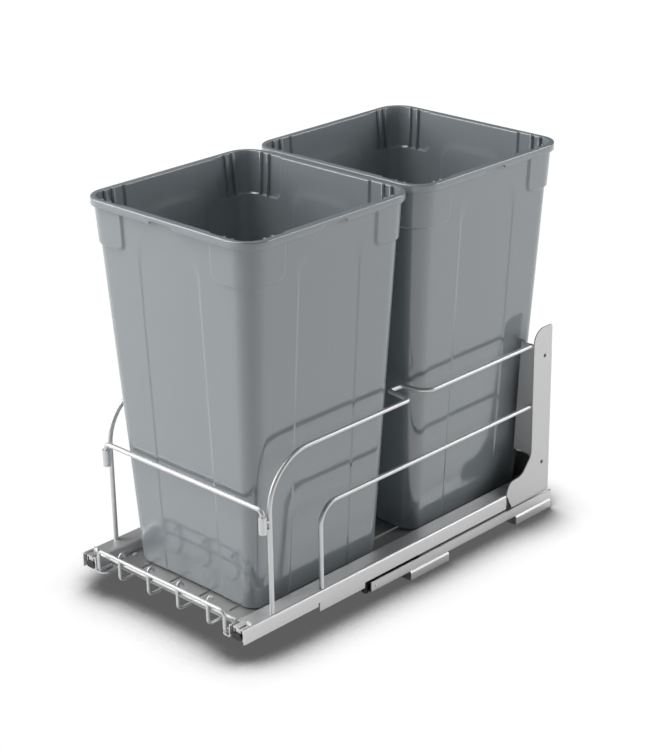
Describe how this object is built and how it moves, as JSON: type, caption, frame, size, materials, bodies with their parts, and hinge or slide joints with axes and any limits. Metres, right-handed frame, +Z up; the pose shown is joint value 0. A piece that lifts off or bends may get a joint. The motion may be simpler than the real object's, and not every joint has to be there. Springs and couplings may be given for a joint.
{
  "type": "pull out trash cabinet unit",
  "caption": "Tandem pull-out waste unit for a base cabinet: lift-out grey bins in a wire-guarded frame on full-extension floor-mounted slides.",
  "frame": {"origin": "bottom centre of the bounding box of the closed unit, on the cabinet floor", "axes": "+Z up, +Y towards the door side, the way the unit pulls out, +X to the right as seen from the rear end looking along +Y"},
  "size_m": [0.304, 0.5896, 0.5107],
  "materials": {
    "bin_plastic": "satin moulded polypropylene, blue-grey",
    "zinc_steel": "bright zinc plated",
    "chromed_wire": "satin chrome plated wire",
    "dark_sheet": "dark grey coated sheet",
    "black_plastic": "matt",
    "roller_plastic": "matt",
    "screw_steel": "zinc plated"
  },
  "bodies": {
    "cabinet": {"left_cabinet_rail": "zinc_steel", "left_cabinet_track": "zinc_steel", "left_damper_housing": "black_plastic", "right_cabinet_rail": "zinc_steel", "right_cabinet_track": "zinc_steel", "right_damper_housing": "black_plastic"},
    "left_middle_slide": {"left_middle_rail": "zinc_steel", "left_middle_rail_plug": "black_plastic"},
    "left_outer_rolling_cage": {"left_outer_cage": "black_plastic", "left_outer_rollers": "roller_plastic"},
    "left_inner_rolling_cage": {"left_inner_cage": "black_plastic", "left_inner_rollers": "roller_plastic"},
    "left_catch": {"left_damper_catch": "black_plastic"},
    "right_middle_slide": {"right_middle_rail": "zinc_steel", "right_middle_rail_plug": "black_plastic"},
    "right_outer_rolling_cage": {"right_outer_cage": "black_plastic", "right_outer_rollers": "roller_plastic"},
    "right_inner_rolling_cage": {"right_inner_cage": "black_plastic", "right_inner_rollers": "roller_plastic"},
    "right_catch": {"right_damper_catch": "black_plastic"},
    "drawer": {"floor_sheet": "dark_sheet", "floor_screws": "screw_steel", "floor_wire_1": "chromed_wire", "floor_wire_2": "chromed_wire", "floor_wire_3": "chromed_wire", "floor_wire_4": "chromed_wire", "rear_tie_wire": "chromed_wire", "front_tie_wire": "chromed_wire", "rear_top_wire": "chromed_wire", "rear_cross_wire": "chromed_wire", "left_drawer_rail": "zinc_steel", "left_door_bracket": "zinc_steel", "left_upper_guard_wire": "chromed_wire", "left_lower_guard_wire": "chromed_wire", "left_crossbar_sleeve": "chromed_wire", "right_drawer_rail": "zinc_steel", "right_door_bracket": "zinc_steel", "right_upper_guard_wire": "chromed_wire", "right_lower_guard_wire": "chromed_wire", "right_crossbar_sleeve": "chromed_wire"},
    "lift_out_crossbar": {"rear_crossbar": "chromed_wire"},
    "rear_bin_body": {"rear_bin": "bin_plastic"},
    "front_bin_body": {"front_bin": "bin_plastic"}
  },
  "joints": [
    {"name": "drawer_slide", "type": "slide", "parent": "cabinet", "child": "drawer", "axis": [0, 1, 0], "range_m": [0, 0.5]},
    {"name": "left_middle_slide_travel", "type": "slide", "parent": "cabinet", "child": "left_middle_slide", "axis": [0, 1, 0], "range_m": [0, 0.25]},
    {"name": "left_outer_cage_travel", "type": "slide", "parent": "cabinet", "child": "left_outer_rolling_cage", "axis": [0, 1, 0], "range_m": [0, 0.375]},
    {"name": "left_inner_cage_travel", "type": "slide", "parent": "cabinet", "child": "left_inner_rolling_cage", "axis": [0, 1, 0], "range_m": [0, 0.125]},
    {"name": "left_catch_travel", "type": "slide", "parent": "cabinet", "child": "left_catch", "axis": [0, 1, 0], "range_m": [0, 0.03]},
    {"name": "right_middle_slide_travel", "type": "slide", "parent": "cabinet", "child": "right_middle_slide", "axis": [0, 1, 0], "range_m": [0, 0.25]},
    {"name": "right_outer_cage_travel", "type": "slide", "parent": "cabinet", "child": "right_outer_rolling_cage", "axis": [0, 1, 0], "range_m": [0, 0.375]},
    {"name": "right_inner_cage_travel", "type": "slide", "parent": "cabinet", "child": "right_inner_rolling_cage", "axis": [0, 1, 0], "range_m": [0, 0.125]},
    {"name": "right_catch_travel", "type": "slide", "parent": "cabinet", "child": "right_catch", "axis": [0, 1, 0], "range_m": [0, 0.03]},
    {"name": "crossbar_lift", "type": "slide", "parent": "drawer", "child": "lift_out_crossbar", "axis": [0, 0, 1], "range_m": [0, 0.03]},
    {"name": "rear_bin_lift", "type": "slide", "parent": "drawer", "child": "rear_bin_body", "axis": [0, 0, 1], "range_m": [0, 0.48]},
    {"name": "front_bin_lift", "type": "slide", "parent": "drawer", "child": "front_bin_body", "axis": [0, 0, 1], "range_m": [0, 0.48]}
  ],
  "couplings": [
    {"joint": "left_middle_slide_travel", "follows": "drawer_slide", "ratio": 0.5},
    {"joint": "left_outer_cage_travel", "follows": "drawer_slide", "ratio": 0.75},
    {"joint": "left_inner_cage_travel", "follows": "drawer_slide", "ratio": 0.25},
    {"joint": "left_catch_travel", "follows": "drawer_slide", "ratio": 0.06},
    {"joint": "right_middle_slide_travel", "follows": "drawer_slide", "ratio": 0.5},
    {"joint": "right_outer_cage_travel", "follows": "drawer_slide", "ratio": 0.75},
    {"joint": "right_inner_cage_travel", "follows": "drawer_slide", "ratio": 0.25},
    {"joint": "right_catch_travel", "follows": "drawer_slide", "ratio": 0.06}
  ]
}
